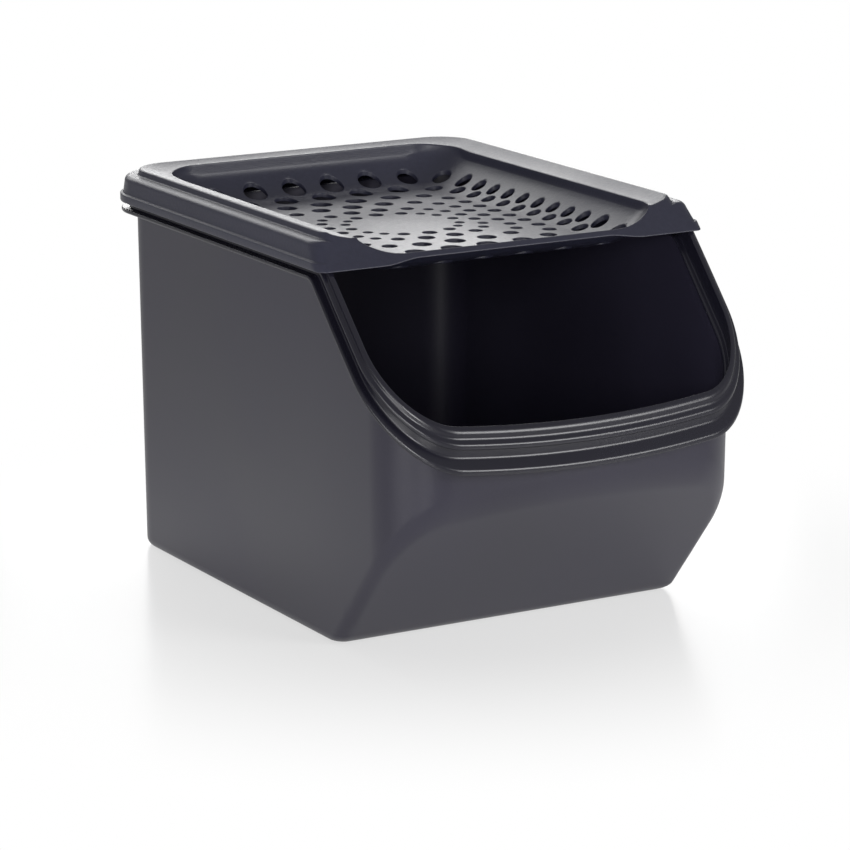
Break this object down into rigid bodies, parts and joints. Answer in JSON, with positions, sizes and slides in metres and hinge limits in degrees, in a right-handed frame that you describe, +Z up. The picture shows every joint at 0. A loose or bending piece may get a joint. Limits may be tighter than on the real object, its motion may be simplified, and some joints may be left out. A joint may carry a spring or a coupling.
{
  "type": "onion keeper",
  "caption": "Open-fronted kitchen bin for onions and garlic, with a sloped mouth, a folded rim and a perforated lift-off lid.",
  "frame": {"origin": "under the middle of the object's box, on the surface that it stands on", "axes": "+Z up, -Y is the front with the mouth, +X to the right of someone who faces the front"},
  "size_m": [0.18, 0.2558, 0.1669],
  "materials": {
    "bin": "satin charcoal polypropylene",
    "vented_lid": "fine-grained charcoal polyethylene, slightly bluer than the bin"
  },
  "bodies": {
    "bin": {"bin": "bin"},
    "lid": {"vented_lid": "vented_lid"}
  },
  "joints": [
    {"name": "lid_lift", "type": "slide", "parent": "bin", "child": "lid", "axis": [0, 0, 1], "range_m": [0, 0.07]}
  ]
}
